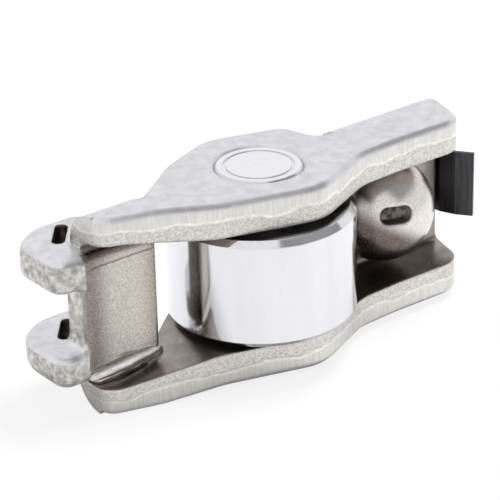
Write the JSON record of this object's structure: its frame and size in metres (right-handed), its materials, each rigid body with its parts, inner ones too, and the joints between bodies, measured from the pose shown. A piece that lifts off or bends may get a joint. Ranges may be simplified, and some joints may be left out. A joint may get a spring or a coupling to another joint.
{
  "type": "rocker arm",
  "caption": "Valve-train finger follower: a folded steel arm with a ball socket at one end, a valve pad between guide ears at the other and a pinned needle roller between its cheeks.",
  "frame": {"origin": "middle of the bounding box in plan, at the underside of the lower cheek the arm lies on", "axes": "+Z along the roller axis, up from the lower cheek; +X from the valve end to the ball-socket end; +Y towards the valve and the pivot, away from the cam"},
  "size_m": [0.0464, 0.017, 0.0184],
  "materials": {
    "pressed_steel": "tumbled and case-hardened, satin",
    "pin_steel": "finely ground end, staked",
    "ground_steel": "ground and superfinished",
    "needle_steel": "ground",
    "black_spring_steel": "black oxide, semi-matt"
  },
  "bodies": {
    "arm": {"body": "pressed_steel", "axle_pin": "pin_steel", "retaining_clip": "black_spring_steel"},
    "roller_ring": {"roller": "ground_steel"},
    "needle_set": {"needle_01": "needle_steel", "needle_02": "needle_steel", "needle_03": "needle_steel", "needle_04": "needle_steel", "needle_05": "needle_steel", "needle_06": "needle_steel", "needle_07": "needle_steel", "needle_08": "needle_steel", "needle_09": "needle_steel", "needle_10": "needle_steel", "needle_11": "needle_steel", "needle_12": "needle_steel", "needle_13": "needle_steel", "needle_14": "needle_steel", "needle_15": "needle_steel", "needle_16": "needle_steel", "needle_17": "needle_steel", "needle_18": "needle_steel", "needle_19": "needle_steel"}
  },
  "joints": [
    {"name": "roller_spin", "type": "hinge", "parent": "arm", "child": "roller_ring", "pos_m": [-0.00113, 0, 0.00922], "axis": [0, 0, 1], "continuous": true},
    {"name": "needle_orbit", "type": "hinge", "parent": "arm", "child": "needle_set", "pos_m": [-0.00113, 0, 0.00922], "axis": [0, 0, 1], "continuous": true}
  ],
  "couplings": [
    {"joint": "needle_orbit", "follows": "roller_spin", "ratio": 0.5824}
  ]
}
